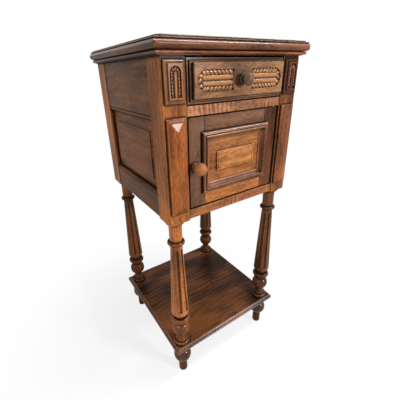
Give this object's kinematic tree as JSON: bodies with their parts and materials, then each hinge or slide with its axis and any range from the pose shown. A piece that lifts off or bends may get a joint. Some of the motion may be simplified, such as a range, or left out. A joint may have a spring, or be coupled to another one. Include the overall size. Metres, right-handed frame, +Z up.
{
  "type": "nightstand",
  "caption": "Tall walnut nightstand with an inset marble top, a carved drawer over a panelled cupboard door, and turned fluted legs on a low shelf.",
  "frame": {"origin": "On the floor, in the middle of the part's outline seen from above, below the feet.", "axes": "+Z up; the drawer and door face -Y; +X is to the right of someone facing the front."},
  "size_m": [0.393, 0.3974, 0.8795],
  "materials": {
    "walnut": "waxed",
    "knob_wood": "polished",
    "inside_wood": "raw",
    "marble": "polished",
    "brass": "worn"
  },
  "bodies": {
    "carcass": {"post_front_left": "walnut", "post_front_right": "walnut", "post_back_left": "walnut", "post_back_right": "walnut", "foot_front_left": "walnut", "foot_front_right": "walnut", "foot_back_left": "walnut", "foot_back_right": "walnut", "shelf": "walnut", "side_top_rail_left": "walnut", "side_top_rail_right": "walnut", "side_bottom_rail_left": "walnut", "side_bottom_rail_right": "walnut", "side_panel_left": "walnut", "side_panel_right": "walnut", "back_top_rail": "inside_wood", "back_bottom_rail": "inside_wood", "back_panel": "inside_wood", "front_top_rail": "walnut", "drawer_rail": "walnut", "front_bottom_rail": "walnut", "cupboard_floor": "inside_wood", "drawer_runner_left": "inside_wood", "drawer_runner_right": "inside_wood", "drawer_guide_left": "inside_wood", "drawer_guide_right": "inside_wood", "drawer_stops": "inside_wood", "top_rail_front": "walnut", "top_rail_left": "walnut", "top_rail_right": "walnut", "top_rail_back": "walnut", "bed_moulding_front": "walnut", "bed_moulding_left": "walnut", "bed_moulding_right": "walnut", "marble_slab": "marble", "upper_plaque_left": "walnut", "upper_plaque_right": "walnut", "lower_plaque_left": "walnut", "lower_plaque_right": "walnut", "pivot_sockets": "brass", "catch_strike": "brass"},
    "drawer": {"drawer_front": "walnut", "drawer_field": "walnut", "drawer_side_left": "inside_wood", "drawer_side_right": "inside_wood", "drawer_back": "inside_wood", "drawer_bottom": "inside_wood", "drawer_knob": "knob_wood"},
    "door": {"door_stile_hinge": "walnut", "door_stile_latch": "walnut", "door_top_rail": "walnut", "door_bottom_rail": "walnut", "door_panel": "walnut", "door_moulding_top": "walnut", "door_moulding_bottom": "walnut", "door_moulding_left": "walnut", "door_moulding_right": "walnut", "door_knob": "knob_wood", "door_pivots": "brass", "door_catch": "brass"}
  },
  "joints": [
    {"name": "drawer_slide", "type": "slide", "parent": "carcass", "child": "drawer", "axis": [0, -1, 0], "range_m": [0, 0.22]},
    {"name": "door_hinge", "type": "hinge", "parent": "carcass", "child": "door", "pos_m": [0.1198, -0.1535, 0.64245], "axis": [0, 0, 1], "range_deg": [0, 95]}
  ]
}
